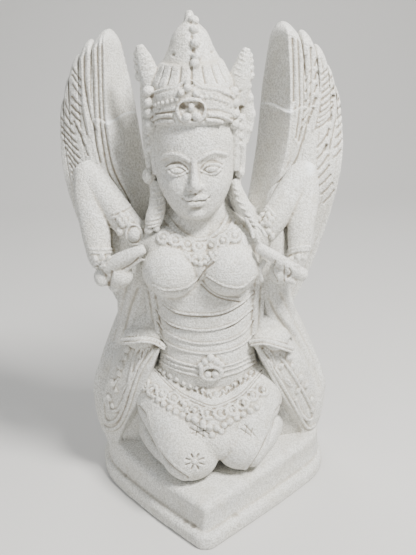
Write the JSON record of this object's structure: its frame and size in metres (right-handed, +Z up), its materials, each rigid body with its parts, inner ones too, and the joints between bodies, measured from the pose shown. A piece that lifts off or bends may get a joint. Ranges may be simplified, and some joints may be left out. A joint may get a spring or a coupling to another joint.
{
  "type": "winged kneeling nymph statue",
  "caption": "Cast-stone garden statue of a kneeling winged nymph in a tall crown, on a stepped plinth with one corner to the front.",
  "frame": {"origin": "on the flat underside of the plinth, below the middle of the figure", "axes": "+Z up, the figure faces -Y and +X is to the viewer's right"},
  "size_m": [0.3437, 0.2527, 0.6001],
  "materials": {
    "cast_limestone": "matt, fine sandy grain"
  },
  "bodies": {
    "root": {"statue": "cast_limestone"}
  },
  "joints": []
}
